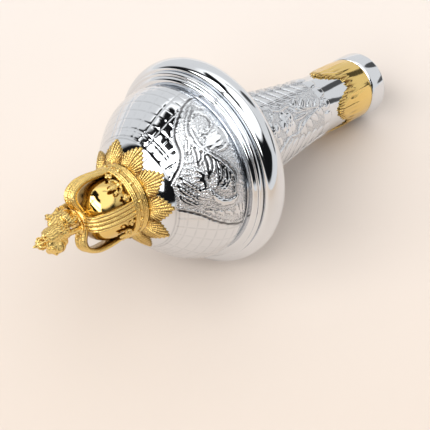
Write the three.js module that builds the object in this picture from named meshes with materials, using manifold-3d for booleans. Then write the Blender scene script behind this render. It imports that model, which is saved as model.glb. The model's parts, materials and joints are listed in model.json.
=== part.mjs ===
// Head of a ceremonial mace: a chased dome on a flared neck, with a gilt leaf collar, a crown and a crowned lion.
//
// Units are millimetres, +Z is up. Every piece is first modelled in the mace's own frame, where Z is the staff's
// axis, 0 is the plane of the widest part of the rim and + is towards the crown. The whole head then lies down on
// its rim and its end ring, crown towards -X and socket towards +X, with the origin under the middle of its box.
import * as THREE from "three";
import { mergeVertices } from "three/addons/utils/BufferGeometryUtils.js";
import Module from "manifold-3d";

// Driving dimensions
const RIM_RADIUS = 70; // widest radius of the head
const WALL = 1.7; // thickness of the spun shells
const GAP = 0.35; // clearance between two pieces that touch
const TURNS = 32; // facets round the large shells
const FLAT_DEPTH = 0.35; // metal taken off where the head lies on the ground

// Along the axis
const DOME_TOP = 68.6;
const DOME_FOOT = 13.6;
const RIM_MIDDLE = 0.6;
const RIM_HALF_HEIGHT = 8.4;
const RIM_ROUND = 5.8; // radial half width of the rounded rim
const RIM_LEDGE = 9.05; // where the dome sits on the rim
const BACK_PLATE = -10.6; // underside of the rim's back plate, at the neck
const MOUNT_BASE = -163.5;
const MOUNT_VALLEY = -141;
const MOUNT_TIP = -124.5;
const RING_TOP = -164.2;
const RING_END = -180.5;

// Radii
const NECK_FOOT_RADIUS = 37;
const NECK_END_RADIUS = 21.6;
const RING_RADIUS = 24.2;
const RING_ROUND = 3; // radius of the end ring's rounded edge
const SOCKET_RADIUS = 18;

// Leaves
const COLLAR_LEAVES = 10;
const COLLAR_INNER = 22.9;
const COLLAR_TIP = 35;
const COLLAR_VALLEY = 29.5;
const COLLAR_THICKNESS = 1.2;
const COLLAR_SEAT = 0.5; // height of the collar's underside over the dome
const MOUNT_LEAVES = 4;
const MOUNT_COVER = 0.76; // part of its quarter that each leaf of the sleeve takes up
const MOUNT_TURN = THREE.MathUtils.degToRad(18);
const MOUNT_THICKNESS = 1.3;
const MOUNT_FLARE_FROM = 30; // height on the sleeve from which its leaves lean out with the neck
const MOUNT_FLARE = 0.05; // and how far they do, for each millimetre above it

// Crown and lion
const CROWN_TURN = THREE.MathUtils.degToRad(-62); // direction of one half arch, from local X
const CIRCLET_RADIUS = 22.4;
const CIRCLET_INNER = 19.8;
const CIRCLET_FOOT = 69;
const CIRCLET_TOP = 77.6;
const ARCH_WIDTH = 9.4;
const ARCH_THICKNESS = 2.2;
const ARCH_DIP = 101; // top of the arches where they cross
const CAP_RADIUS = 19.3;
const CAP_HEIGHT = 22.6; // of the cap's round top above its widest part
const CAP_CENTRE = 75.4;
const STAND_TOP = 104.4; // the small round stand that the lion sits on
const LION_TURN = THREE.MathUtils.degToRad(-127); // direction that the lion faces
const LION_SCALE = 0.94;

const CHROME = { color: 0xd4d6d9, roughness: 0.12, metalness: 1 };
const GILT = { color: 0xd9a441, roughness: 0.22, metalness: 1 };

const wasm = await Module();
wasm.setup();

// ---------------------------------------------------------------- geometry helpers

// A closed geometry as a manifold-3d solid.
function solidOf(geometry) {
  const bare = geometry.index ? geometry.toNonIndexed() : geometry.clone();
  bare.deleteAttribute("normal");
  bare.deleteAttribute("uv");
  const merged = mergeVertices(bare, 1e-4);
  return new wasm.Manifold(
    new wasm.Mesh({
      numProp: 3,
      vertProperties: merged.attributes.position.array,
      triVerts: new Uint32Array(merged.index.array),
    }),
  );
}

function geometryOf(solid) {
  const { numProp, numVert, vertProperties, triVerts } = solid.getMesh();
  const positions = new Float32Array(numVert * 3);
  for (let i = 0; i < numVert; i++) positions.set(vertProperties.subarray(i * numProp, i * numProp + 3), i * 3);
  return new THREE.BufferGeometry()
    .setAttribute("position", new THREE.BufferAttribute(positions, 3))
    .setIndex(new THREE.BufferAttribute(triVerts, 1))
    .toNonIndexed();
}

const union = (geometries) => geometryOf(geometries.map(solidOf).reduce((whole, piece) => whole.add(piece)));

// Revolves an outline of [radius, height] points about Z: from axis to axis, or round and back to its first point.
function revolve(points, turns = TURNS) {
  const loop = [...points, points[0]];
  const turning = points.reduce((sum, [r, h], i) => sum + r * loop[i + 1][1] - loop[i + 1][0] * h, 0);
  const outline = (points[0][0] === 0 ? points : loop).map(([r, h]) => new THREE.Vector2(r, h));
  if (turning < 0) outline.reverse();
  return new THREE.LatheGeometry(outline, turns).rotateX(Math.PI / 2);
}

// Points of a smooth curve through a few [radius, height] knots.
function smooth(knots, count) {
  const curve = new THREE.SplineCurve(knots.map(([radius, height]) => new THREE.Vector2(radius, height)));
  return curve.getPoints(count).map(({ x, y }) => [x, y]);
}

// Points of an elliptical arc about [radius, height], angles in degrees from the outward direction.
function arc([radius, height], [radial, axial], from, to, count) {
  return Array.from({ length: count + 1 }, (_, i) => {
    const angle = THREE.MathUtils.degToRad(from + ((to - from) * i) / count);
    return [radius + radial * Math.cos(angle), height + axial * Math.sin(angle)];
  });
}

// The outline moved sideways by a distance, to the left of its direction of travel.
function offset(points, distance) {
  return points.map((point, i) => {
    const before = points[Math.max(i - 1, 0)];
    const after = points[Math.min(i + 1, points.length - 1)];
    const [dx, dy] = [after[0] - before[0], after[1] - before[1]];
    const length = Math.hypot(dx, dy);
    return [point[0] - (dy / length) * distance, point[1] + (dx / length) * distance];
  });
}

// Moves every vertex of a geometry by a function of its position.
function reshape(geometry, move) {
  const position = geometry.attributes.position;
  const vertex = new THREE.Vector3();
  for (let i = 0; i < position.count; i++) {
    move(vertex.fromBufferAttribute(position, i));
    position.setXYZ(i, vertex.x, vertex.y, vertex.z);
  }
  return geometry;
}

const mesh = (name, geometry, look) => {
  const made = new THREE.Mesh(geometry, new THREE.MeshStandardMaterial(look));
  made.name = name;
  return made;
};

// Height of the edge of a row of leaves: 1 at each tip, 0 in each valley, with round-shouldered pointed leaves that
// take up a part, cover, of the ring.
function leafEdge(angle, leaves, cover = 1) {
  const across = Math.abs(((((angle * leaves) / (2 * Math.PI)) % 1) + 1.5) % 1 - 0.5) * 2;
  return 1 - Math.pow(Math.min(1, across / cover), 1.5);
}

// ---------------------------------------------------------------- chrome body

// Outer line of the dome from its crown to the crease at its foot; the largest radius is low down.
const DOME_LINE = smooth(
  [[0.01, DOME_TOP], [13, 68.2], [22.5, 66.6], [31.4, 61.4], [39.2, 53.8], [47, 45], [53.3, 36.6], [57.1, 28],
    [58.2, 20.6], [54.8, DOME_FOOT]],
  11,
);

function dome() {
  const band = arc([58.1, DOME_FOOT], [3.1, 1.6], 160, 15, 3);
  const bead = arc([62.6, 11.2], [1.6, 1.8], 115, -20, 2);
  const foot = RIM_LEDGE + GAP;
  const outside = [[0, DOME_TOP], ...DOME_LINE.slice(1), ...band, ...bead];
  const inside = offset(DOME_LINE.filter((_, i) => i % 2 === 0 && i > 0), -WALL).reverse();
  const seat = [[63.4, foot], [59.8, foot], [59.2, foot + WALL]];
  return mesh("dome", revolve([...outside, ...seat, ...inside, [0, DOME_TOP - WALL]]), CHROME);
}

function rim() {
  const centre = [RIM_RADIUS - RIM_ROUND, RIM_MIDDLE];
  const ledge = 60; // inner radius of the ledge that carries the dome
  const round = arc(centre, [RIM_ROUND, RIM_HALF_HEIGHT], 88, -105, 7);
  const back = [[61.4, -8.6], [58, -9.4], [NECK_FOOT_RADIUS + 1, BACK_PLATE]];
  const inner = [[NECK_FOOT_RADIUS + 1, BACK_PLATE + WALL], [59, -9 + WALL], [62.6, -6]];
  const inside = arc(centre, [RIM_ROUND - WALL, RIM_HALF_HEIGHT - WALL], -60, 70, 3);
  const seat = [[ledge, RIM_LEDGE - WALL], [ledge, RIM_LEDGE]];
  return mesh("rim", revolve([...round, ...back, ...inner, ...inside, ...seat]), CHROME);
}

function neck() {
  const foot = arc([NECK_FOOT_RADIUS + 1.6, BACK_PLATE - GAP - 1.7], [2.4, 1.7], 90, -70, 3);
  const flare = smooth(
    [[36.8, -14.6], [34.3, -25], [31.6, -40], [28.9, -60], [26.1, -80], [23.8, -100], [22.1, -118],
      [NECK_END_RADIUS, -132], [NECK_END_RADIUS, RING_TOP + GAP]],
    8,
  );
  const inside = offset(flare.filter((_, i) => i % 2 === 0), -WALL).reverse();
  const outline = [...foot, ...flare, ...inside, [NECK_FOOT_RADIUS - WALL, BACK_PLATE - GAP]];
  return mesh("neck", revolve(outline, 28), CHROME);
}

function endRing() {
  const round = arc([RING_RADIUS - RING_ROUND, RING_END + RING_ROUND], [RING_ROUND, RING_ROUND], 0, -90, 4);
  const outline = [[SOCKET_RADIUS, RING_TOP], [23.2, RING_TOP], [23.9, RING_TOP - 4], ...round,
    [SOCKET_RADIUS, RING_END]];
  return mesh("end_ring", revolve(outline), CHROME);
}

// ---------------------------------------------------------------- gilt leaves

// Height of the dome's outer line at a radius.
function domeHeight(radius) {
  const after = DOME_LINE.findIndex(([r]) => r >= radius);
  const [[r0, h0], [r1, h1]] = [DOME_LINE[after - 1], DOME_LINE[after]];
  return h0 + ((h1 - h0) * (radius - r0)) / (r1 - r0);
}

// A thin ring on the dome, whose outer edge is drawn out into leaves.
function leafCollar() {
  const rows = 3;
  const steps = Array.from({ length: rows + 1 }, (_, i) => i / rows);
  const top = steps.map((t) => [COLLAR_INNER + t, COLLAR_THICKNESS]);
  const bottom = steps.map((t) => [COLLAR_INNER + t, 0]).reverse();
  const ring = revolve([...bottom, ...top], COLLAR_LEAVES * 6);
  const leaves = reshape(ring, (vertex) => {
    const angle = Math.atan2(vertex.y, vertex.x);
    const along = Math.hypot(vertex.x, vertex.y) - COLLAR_INNER;
    const tip = COLLAR_VALLEY + (COLLAR_TIP - COLLAR_VALLEY) * leafEdge(angle, COLLAR_LEAVES);
    const radius = COLLAR_INNER + (tip - COLLAR_INNER) * along;
    const height = domeHeight(radius) + COLLAR_SEAT + vertex.z;
    vertex.set(radius * Math.cos(angle), radius * Math.sin(angle), height);
  });
  return mesh("leaf_collar", leaves, GILT);
}

// A sleeve on the narrow end of the neck, whose edge is drawn out into leaves towards the head.
function leafMount() {
  const rows = 3;
  const steps = Array.from({ length: rows + 1 }, (_, i) => i / rows);
  const inner = NECK_END_RADIUS + GAP;
  const inside = steps.map((t) => [inner, t]).reverse();
  const outside = steps.map((t) => [inner + MOUNT_THICKNESS, t]);
  const sleeve = reshape(revolve([...outside, ...inside]), (vertex) => {
    const edge = leafEdge(Math.atan2(vertex.y, vertex.x) - MOUNT_TURN, MOUNT_LEAVES, MOUNT_COVER);
    const along = vertex.z;
    const height = MOUNT_VALLEY + (MOUNT_TIP - MOUNT_VALLEY) * edge - MOUNT_BASE;
    const lift = MOUNT_FLARE * Math.max(0, along * height - MOUNT_FLARE_FROM);
    const radius = Math.hypot(vertex.x, vertex.y);
    vertex.multiplyScalar((radius + lift) / radius);
    vertex.z = MOUNT_BASE + height * along;
  });
  return mesh("leaf_mount", sleeve, GILT);
}

// ---------------------------------------------------------------- crown

// A flat outline stood upright on the circlet, facing outwards, at an angle round the crown.
function standing(shape, angle) {
  const thickness = 1.8;
  return new THREE.ExtrudeGeometry(shape, { depth: thickness, bevelEnabled: false, curveSegments: 2 })
    .rotateX(Math.PI / 2)
    .rotateZ(Math.PI / 2)
    .translate(CIRCLET_RADIUS - 2.2, 0, CIRCLET_TOP - 0.6)
    .rotateZ(angle);
}

function fleurShape() {
  const shape = new THREE.Shape().moveTo(-1.4, 0).lineTo(1.4, 0).lineTo(1.2, 2.6);
  shape.quadraticCurveTo(2.6, 1.6, 4.2, 3.2).quadraticCurveTo(4.4, 5.6, 2.6, 5.4);
  shape.quadraticCurveTo(1.6, 4.2, 1.3, 5).quadraticCurveTo(2.2, 7.4, 0, 10.2);
  shape.quadraticCurveTo(-2.2, 7.4, -1.3, 5).quadraticCurveTo(-1.6, 4.2, -2.6, 5.4);
  return shape.quadraticCurveTo(-4.4, 5.6, -4.2, 3.2).quadraticCurveTo(-2.6, 1.6, -1.2, 2.6);
}

// One arch from side to side over the crown, dipped in the middle.
function arch(angle) {
  const half = smooth(
    [[CIRCLET_RADIUS - 0.4, CIRCLET_TOP - 1], [23.1, 88], [22.6, 97.5], [18.6, 104.6], [13, 106.2], [6.5, 103.4],
      [0, ARCH_DIP]],
    8,
  );
  const inside = offset(half, ARCH_THICKNESS);
  const left = half.slice(0, -1).map(([x, y]) => [-x, y]).reverse();
  const leftInside = inside.slice(0, -1).map(([x, y]) => [-x, y]).reverse();
  const outline = [...half, ...left, ...[...inside, ...leftInside].reverse()];
  const shape = new THREE.Shape(outline.map(([x, y]) => new THREE.Vector2(x, y)));
  return new THREE.ExtrudeGeometry(shape, { depth: ARCH_WIDTH, bevelEnabled: false })
    .translate(0, 0, -ARCH_WIDTH / 2)
    .rotateX(Math.PI / 2)
    .rotateZ(angle);
}

function circlet() {
  const height = CIRCLET_TOP - CIRCLET_FOOT;
  const ridges = [0.04, 0.2, 0.3, 0.7, 0.8, 0.96].map((t, i) => [
    CIRCLET_RADIUS + [0.7, 0.7, 0, 0, 0.7, 0.7][i],
    CIRCLET_FOOT + height * t,
  ]);
  return revolve([[CIRCLET_INNER, CIRCLET_FOOT], ...ridges, [CIRCLET_INNER, CIRCLET_TOP]], 30);
}

function crown() {
  const quarters = [0, 1, 2, 3].map((i) => CROWN_TURN + (i * Math.PI) / 2);
  const fleurs = quarters.map((angle) => standing(fleurShape(), angle + Math.PI / 4));
  const stand = revolve([[0, ARCH_DIP - 2], [6.6, ARCH_DIP - 2], [7.4, STAND_TOP], [0, STAND_TOP]], 16);
  return mesh("crown", union([circlet(), ...fleurs, arch(CROWN_TURN), arch(CROWN_TURN + Math.PI / 2), stand]), GILT);
}

function crownCap() {
  const wall = 1.3;
  const foot = THREE.MathUtils.radToDeg(Math.asin((DOME_TOP + GAP - CAP_CENTRE) / CAP_HEIGHT));
  const outside = arc([0, CAP_CENTRE], [CAP_RADIUS, CAP_HEIGHT], foot, 90, 5);
  const inside = arc([0, CAP_CENTRE], [CAP_RADIUS - wall, CAP_HEIGHT - wall], 90, foot, 3);
  return mesh("crown_cap", revolve([...outside, ...inside], 24), GILT);
}

// ---------------------------------------------------------------- lion

// An ellipsoid, tipped forwards about its middle by an angle in degrees.
function lump([x, y, z], [length, width, height], tip = 0) {
  return new THREE.SphereGeometry(1, 7, 5)
    .scale(length, width, height)
    .rotateY(THREE.MathUtils.degToRad(tip))
    .translate(x, y, z);
}

// A round limb or tail along a smooth line.
function limb(points, radius, steps = 4) {
  const line = new THREE.CatmullRomCurve3(points.map(([x, y, z]) => new THREE.Vector3(x, y, z)));
  const section = new THREE.Shape().absellipse(0, 0, radius, radius, 0, Math.PI * 2);
  return new THREE.ExtrudeGeometry(section, { extrudePath: line, steps, curveSegments: 2 });
}

// The lion sits facing +X, its feet at height 0, with a small crown on its head.
function lion() {
  const sides = [-1, 1];
  const pieces = [
    lump([0, 0, 0.9], [8.6, 6.4, 0.9]), // ground under the paws
    lump([-4.6, 0, 7], [6.4, 5.2, 7.2]),
    lump([-1.6, 0, 13.6], [5.2, 4.6, 8.6], 18),
    lump([-5.2, 0, 13], [4.4, 3.6, 6.4], 15), // back
    lump([1.4, 0, 18], [5.8, 5.4, 7.4], 14), // mane
    lump([3.4, 0, 23], [4.6, 4.3, 4.6]), // head
    lump([8.2, 0, 21.6], [4.1, 3.6, 4.6], 8), // muzzle
    lump([6.6, 0, 16.2], [3.8, 3.6, 4.6], -12), // beard
    limb([[-8.4, 0, 4.6], [-11.4, 0, 6.4], [-11.8, 0, 10], [-9.4, 0, 13.5], [-10.4, 0, 17]], 1.1, 6),
    lump([-10.6, 0, 17.6], [1.8, 1.6, 2.4]),
    revolve([[0, 26], [3.2, 26], [3.9, 29.4], [2.6, 31], [0.8, 32.2], [0.7, 34.2], [0, 34.6]], 10),
    ...sides.flatMap((side) => [
      limb([[3, side * 2.9, 15], [5.2, side * 2.9, 8], [5.4, side * 2.8, 1.2]], 1.9),
      lump([6.8, side * 2.8, 1.7], [2.6, 1.9, 1.5]),
      lump([-3.8, side * 4.1, 6], [5, 2.6, 5.4], -20),
      lump([1.2, side * 4.9, 1.6], [3.6, 1.7, 1.4]),
      lump([1.6, side * 3.6, 26.4], [1.2, 1.2, 1.6]),
    ]),
  ];
  const seated = union(pieces).scale(LION_SCALE, LION_SCALE, LION_SCALE);
  return mesh("lion", seated.rotateZ(LION_TURN).translate(0, 0, STAND_TOP + GAP), GILT);
}

// ---------------------------------------------------------------- the head, lying down

// Height of the lowest point of a rounded edge when the axis is tipped up by an angle.
const lowest = ([radius, height], [radial, axial], tilt) =>
  height * Math.sin(tilt) - radius * Math.cos(tilt) - Math.hypot(radial * Math.cos(tilt), axial * Math.sin(tilt));

const rimFoot = (tilt) => lowest([RIM_RADIUS - RIM_ROUND, RIM_MIDDLE], [RIM_ROUND, RIM_HALF_HEIGHT], tilt);
const ringFoot = (tilt) => lowest([RING_RADIUS - RING_ROUND, RING_END + RING_ROUND], [RING_ROUND, RING_ROUND], tilt);

// The tilt at which the rim and the end ring reach equally low, found by halving.
function restingTilt() {
  let [low, high] = [0, Math.PI / 4];
  for (let i = 0; i < 40; i++) {
    const middle = (low + high) / 2;
    if (rimFoot(middle) < ringFoot(middle)) low = middle;
    else high = middle;
  }
  return low;
}

const tilt = restingTilt();
const head = new THREE.Group();
head.rotation.y = tilt - Math.PI / 2;
head.position.z = -rimFoot(tilt) - FLAT_DEPTH;
head.add(dome(), rim(), neck(), endRing(), leafCollar(), leafMount(), crown(), crownCap(), lion());

// Takes off everything that would be below the ground, which leaves a small flat spot.
function cutFlat(piece) {
  head.updateMatrixWorld(true);
  const ground = new THREE.BoxGeometry(600, 600, 100).translate(0, 0, -50);
  ground.applyMatrix4(head.matrixWorld.clone().invert());
  piece.geometry = geometryOf(solidOf(piece.geometry).subtract(solidOf(ground)));
}
for (const piece of head.children) if (["rim", "end_ring"].includes(piece.name)) cutFlat(piece);

const group = new THREE.Group();
group.add(head);
group.updateMatrixWorld(true);
const middle = new THREE.Box3().setFromObject(group, true).getCenter(new THREE.Vector3());
head.position.x -= middle.x;
head.position.y -= middle.y;

export default group;
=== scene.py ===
"""The head of a ceremonial mace: chased chrome with gilt mounts, crown and lion, lying on its rim."""

import json
from math import cos, degrees, pi, radians, sin

import bmesh
import bpy
import numpy as np
from mathutils import Matrix, Vector


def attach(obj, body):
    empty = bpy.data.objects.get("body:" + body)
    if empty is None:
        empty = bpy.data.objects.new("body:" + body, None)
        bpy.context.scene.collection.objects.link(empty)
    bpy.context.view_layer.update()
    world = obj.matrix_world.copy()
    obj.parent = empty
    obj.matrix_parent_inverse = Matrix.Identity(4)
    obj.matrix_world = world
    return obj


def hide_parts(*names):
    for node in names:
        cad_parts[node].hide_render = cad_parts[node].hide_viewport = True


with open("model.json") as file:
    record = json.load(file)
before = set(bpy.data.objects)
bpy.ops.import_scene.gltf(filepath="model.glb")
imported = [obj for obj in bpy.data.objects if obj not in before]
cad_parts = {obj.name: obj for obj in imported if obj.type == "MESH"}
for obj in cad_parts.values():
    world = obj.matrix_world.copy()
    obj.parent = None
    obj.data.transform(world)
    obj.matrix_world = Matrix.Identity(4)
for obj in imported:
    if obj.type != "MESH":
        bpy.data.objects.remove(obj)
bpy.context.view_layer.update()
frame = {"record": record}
scene = bpy.context.scene
scene.view_settings.view_transform = "Standard"

# ---- Where the head lies
# Every piece is worked out in millimetres about the mace's own axis: height 0 is the plane of the rim's
# widest part, up is towards the crown. The staff's end face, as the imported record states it, says how the
# axis lies.

MM = 0.001
RING_END = -180.5  # height of the end face
FACE_POINT = -20.5  # sideways place of the record's point on that face

staff_end = next(m for m in frame["record"]["mounts"] if m["name"] == "staff_end")
axis_up = -Vector(staff_end["axis"])
side = Vector((axis_up.z, 0, -axis_up.x))  # across the axis, towards the sky
across = axis_up.cross(side)
to_world = Matrix((side, across, axis_up)).transposed()
head_origin = Vector(staff_end["pos_m"]) - to_world @ Vector((FACE_POINT, 0, RING_END)) * MM
TURN = np.array(to_world)
ORIGIN = np.array(head_origin)


def lay_down(points):
    """Points in millimetres about the mace's axis as points of the lying head in metres, none underground."""
    world = points @ TURN.T * MM + ORIGIN
    world[..., 2] = np.maximum(world[..., 2], 0)
    return world


# ---- Dome
# A spun shell, chased and chrome plated: two bell-shaped panels of scrolling leaves, each in a polished
# ribbon, and latticed fields between the two. A band and a bead are turned at its foot; the top is plain,
# with a double engraved ring.

WALL = 1.7
PLAIN_LEVEL = 0.45  # how high the plain metal stands above the chased ground
PUNCH_DEPTH = 0.12
DOME_COLUMNS = 660
DOME_SECTOR = 180.0  # degrees from one panel to the next
DOME_CENTRE = -45.0  # direction of one panel's middle, from the side that looks up
DOME_SCALE = radians(1) * 52  # millimetres to a degree where the dome is chased
CHASED_FOOT = 15.2  # heights between which the dome is chased
CHASED_HEAD = 56.6


def add_piece(name, points, faces):
    """A smooth mesh object made of points about the mace's axis."""
    mesh = bpy.data.meshes.new(name)
    mesh.from_pydata(lay_down(points).reshape(-1, 3).tolist(), [], [list(map(int, f)) for f in faces])
    mesh.validate()
    mesh.update()
    mesh.polygons.foreach_set("use_smooth", [True] * len(mesh.polygons))
    piece = bpy.data.objects.new(name, mesh)
    scene.collection.objects.link(piece)
    return piece


def tube_faces(rows, columns, closed_rows=True):
    """Quads of a grid that closes on itself round its columns and, if asked, round its rows."""
    row = np.arange(rows if closed_rows else rows - 1)
    r, c = np.meshgrid(row, np.arange(columns), indexing="ij")
    r_next, c_next = (r + 1) % rows, (c + 1) % columns
    here, beyond = r * columns, r_next * columns
    return np.stack([here + c, here + c_next, beyond + c_next, beyond + c], -1).reshape(-1, 4)


def ring_points(radius, level):
    """Points from grids of radii and heights, the columns spread evenly round the axis."""
    angle = 2 * pi * np.arange(radius.shape[1]) / radius.shape[1]
    return np.stack([radius * np.cos(angle), radius * np.sin(angle), level], -1)


def paint(piece, name, values):
    """Stores one number for each vertex, which the materials read."""
    layer = piece.data.attributes.new(name, "FLOAT", "POINT")
    layer.data.foreach_set("value", np.asarray(values, dtype=np.float32).ravel())


class Val:
    """A number that varies over a surface: arithmetic on it adds Math nodes."""

    def __init__(self, nodes, socket):
        self.nodes = nodes
        self.socket = socket

    def _math(self, operation, *inputs, clamp=False):
        node = self.nodes.add("ShaderNodeMath", {"operation": operation, "use_clamp": clamp}, *inputs)
        return Val(self.nodes, node.outputs[0])

    def __add__(self, other):
        return self._math("ADD", self, other)

    def __sub__(self, other):
        return self._math("SUBTRACT", self, other)

    def __rsub__(self, other):
        return self._math("SUBTRACT", other, self)

    def __mul__(self, other):
        return self._math("MULTIPLY", self, other)

    __radd__, __rmul__ = __add__, __mul__

    def clamped(self):
        return self._math("ADD", self, 0.0, clamp=True)


class Nodes:
    """The node tree of one material, with its main shader ready."""

    def __init__(self, name, **shader):
        self.material = bpy.data.materials.new(name)
        self.material.use_nodes = True
        self.tree = self.material.node_tree
        self.shader = self.tree.nodes["Principled BSDF"]
        for socket, value in shader.items():
            self.shader.inputs[socket.replace("_", " ")].default_value = value
        self.place = Val(self, self.add("ShaderNodeTexCoord").outputs["Object"])

    def add(self, kind, settings=None, *inputs, **named):
        """Adds a node: its settings first, then what its sockets take, by place or by name."""
        node = self.tree.nodes.new(kind)
        for key, value in (settings or {}).items():
            setattr(node, key, value)
        for key, value in [*enumerate(inputs), *((k.replace("_", " "), v) for k, v in named.items())]:
            if isinstance(value, Val):
                self.tree.links.new(value.socket, node.inputs[key])
            else:
                node.inputs[key].default_value = value
        return node

    def number(self, operation, *inputs):
        """The result of a Math node."""
        return Val(self, self.add("ShaderNodeMath", {"operation": operation}, *inputs).outputs[0])

    def noise(self, scale, detail=3.0):
        """A soft random pattern from 0 to 1."""
        named = {"Vector": self.place, "Scale": scale, "Detail": detail}
        return Val(self, self.add("ShaderNodeTexNoise", None, **named).outputs["Fac"])

    def painted(self, name):
        """The numbers that paint() stored."""
        return Val(self, self.add("ShaderNodeAttribute", {"attribute_name": name}).outputs["Fac"])

    def mix(self, factor, first, second):
        """A colour between two colours."""
        node = self.add("ShaderNodeMix", {"data_type": "RGBA"})
        for key, value in ((0, factor), (6, first), (7, second)):
            if isinstance(value, Val):
                self.tree.links.new(value.socket, node.inputs[key])
            else:
                node.inputs[key].default_value = (*value, 1)
        return Val(self, node.outputs[2])

    def feed(self, name, value):
        """Joins a varying value to one of the shader's sockets."""
        self.tree.links.new(value.socket, self.shader.inputs[name])

    def bump(self, height, distance):
        """Fine unevenness of the surface, its depth in metres."""
        named = {"Height": height, "Distance": distance}
        self.feed("Normal", Val(self, self.add("ShaderNodeBump", None, **named).outputs[0]))


CHROME_BRIGHT = (0.72, 0.745, 0.78)
CHROME_WORN = (0.71, 0.735, 0.77)
CHROME_WIPED = (0.75, 0.775, 0.81)
# colour of the painted shade in the chasing's hollows
CHROME_SHADE = (0.10, 0.10, 0.105)
PUNCH_SIZE = 0.0008  # metres


def punched(nodes):
    """A ground of small round punch marks."""
    named = {"Vector": nodes.place, "Scale": 1 / PUNCH_SIZE}
    return Val(nodes, nodes.add("ShaderNodeTexVoronoi", None, **named).outputs["Distance"])


def chrome(name, chased):
    """Chrome plate, bright and faintly blue; chasing is matt on its ground and darkened with painted shade in
    its hollows.
    """
    nodes = Nodes(name, Metallic=1.0, Roughness=0.07)
    wear = nodes.noise(55.0)
    wiping = nodes.noise(900.0, 2.0)
    if chased:
        painted_shade, matt = nodes.painted("painted_shade"), nodes.painted("matt")
        # painted shade darkens the chrome where the chasing is hollow
        nodes.feed("Base Color", nodes.mix(painted_shade, CHROME_BRIGHT, CHROME_SHADE))
        nodes.feed("Roughness", 0.05 + 0.04 * wear + 0.04 * matt + 0.05 * painted_shade)
        nodes.bump(punched(nodes) * matt + 0.01 * wiping, 0.0003)
    else:
        nodes.feed("Base Color", nodes.mix(wear, CHROME_WORN, CHROME_WIPED))
        nodes.feed("Roughness", 0.045 + 0.05 * wear)
        nodes.bump(0.01 * wiping, 0.0002)
    return nodes.material


CHASED_CHROME = chrome("chased_chrome", chased=True)


def finish_piece(piece, node, material):
    """Gives a piece its material and says which solid it stands for."""
    piece.data.materials.append(material)
    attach(piece, "root")
    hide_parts(node)


def arc_points(centre, radii, start, end, count):
    """Radius and height along an elliptical arc, angles in degrees from the outward direction."""
    angle = np.radians(np.linspace(start, end, count))
    return np.stack([centre[0] + radii[0] * np.cos(angle), centre[1] + radii[1] * np.sin(angle)], -1)


def smooth_line(knots, step=None, count=None):
    """A smooth curve through a few points, as points an even step apart or of a given count."""
    knots = np.asarray(knots, dtype=float)
    padded = np.vstack([2 * knots[0] - knots[1], knots, 2 * knots[-1] - knots[-2]])
    t = np.linspace(0, 1, 24, endpoint=False)[:, None]
    pieces = []
    for a, b, c, d in zip(padded, padded[1:], padded[2:], padded[3:]):
        pieces.append(0.5 * (2 * b + (c - a) * t + (2 * a - 5 * b + 4 * c - d) * t**2
                             + (3 * b - a - 3 * c + d) * t**3))
    line = np.vstack([*pieces, knots[-1:]])
    along = np.concatenate([[0], np.cumsum(np.hypot(*np.diff(line, axis=0).T[:2]))])
    even = np.linspace(0, along[-1], count or int(round(along[-1] / step)) + 1)
    return np.stack([np.interp(even, along, line[:, i]) for i in range(line.shape[1])], -1)


def inward(line, distance):
    """A line moved sideways, to the right of its direction of travel."""
    step = np.gradient(line, axis=0)
    step /= np.hypot(*step.T)[:, None]
    return line + distance * np.stack([step[:, 1], -step[:, 0]], -1)


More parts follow.
